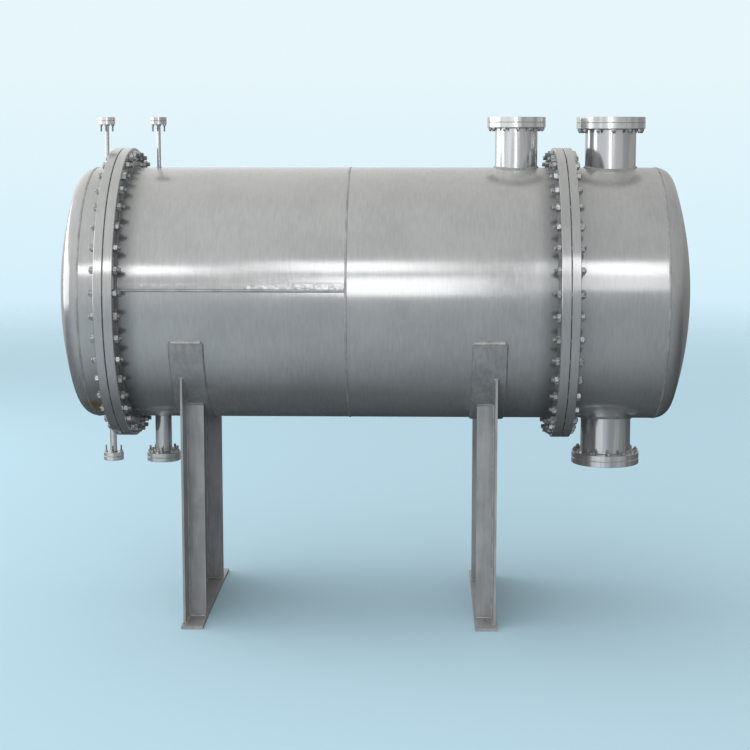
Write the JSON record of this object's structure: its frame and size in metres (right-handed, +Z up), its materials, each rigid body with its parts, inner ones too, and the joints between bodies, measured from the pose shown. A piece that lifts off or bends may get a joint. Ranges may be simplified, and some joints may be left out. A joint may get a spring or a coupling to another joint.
{
  "type": "shell and tube heat exchanger",
  "caption": "Horizontal shell and tube heat exchanger on two saddles: dished bonnet and channel bolted to fixed tubesheets, blanked flanged nozzles above and below.",
  "frame": {"origin": "under the middle of the vessel's overall length, on the underside of the saddles' base plates", "axes": "+X along the vessel towards the channel, +Y across it, +Z up"},
  "size_m": [4.041, 1.8758, 3.2],
  "materials": {
    "vessel_paint": "silver-grey aluminium paint, satin, brushed on and slightly mottled",
    "saddle_paint": "silver-grey aluminium paint, satin",
    "gasket": "dark graphite sheet",
    "bolting": "painted over studs and nuts, worn at the corners",
    "weld": "weld beads under aluminium paint"
  },
  "bodies": {
    "root": {"base_plate_left": "saddle_paint", "base_plate_right": "saddle_paint", "bonnet_barrel": "vessel_paint", "bonnet_drain_cover": "vessel_paint", "bonnet_drain_flange": "vessel_paint", "bonnet_drain_neck": "vessel_paint", "bonnet_flange": "vessel_paint", "bonnet_head": "vessel_paint", "bonnet_vent_cover": "vessel_paint", "bonnet_vent_flange": "vessel_paint", "bonnet_vent_neck": "vessel_paint", "channel_barrel": "vessel_paint", "channel_flange": "vessel_paint", "channel_head": "vessel_paint", "channel_inlet_cover": "vessel_paint", "channel_inlet_flange": "vessel_paint", "channel_inlet_neck": "vessel_paint", "channel_outlet_cover": "vessel_paint", "channel_outlet_flange": "vessel_paint", "channel_outlet_neck": "vessel_paint", "gasket_left": "gasket", "gasket_right": "gasket", "nozzle_gaskets": "gasket", "saddle_rib_back_left": "saddle_paint", "saddle_rib_back_right": "saddle_paint", "saddle_rib_front_left": "saddle_paint", "saddle_rib_front_right": "saddle_paint", "saddle_web_left": "saddle_paint", "saddle_web_right": "saddle_paint", "shell_course_left": "vessel_paint", "shell_course_right": "vessel_paint", "shell_inlet_cover": "vessel_paint", "shell_inlet_flange": "vessel_paint", "shell_inlet_neck": "vessel_paint", "shell_outlet_cover": "vessel_paint", "shell_outlet_flange": "vessel_paint", "shell_outlet_neck": "vessel_paint", "shell_vent_cover": "vessel_paint", "shell_vent_flange": "vessel_paint", "shell_vent_neck": "vessel_paint", "tubesheet_left": "vessel_paint", "tubesheet_right": "vessel_paint", "wear_plate_left": "saddle_paint", "wear_plate_right": "saddle_paint"}
  },
  "joints": []
}
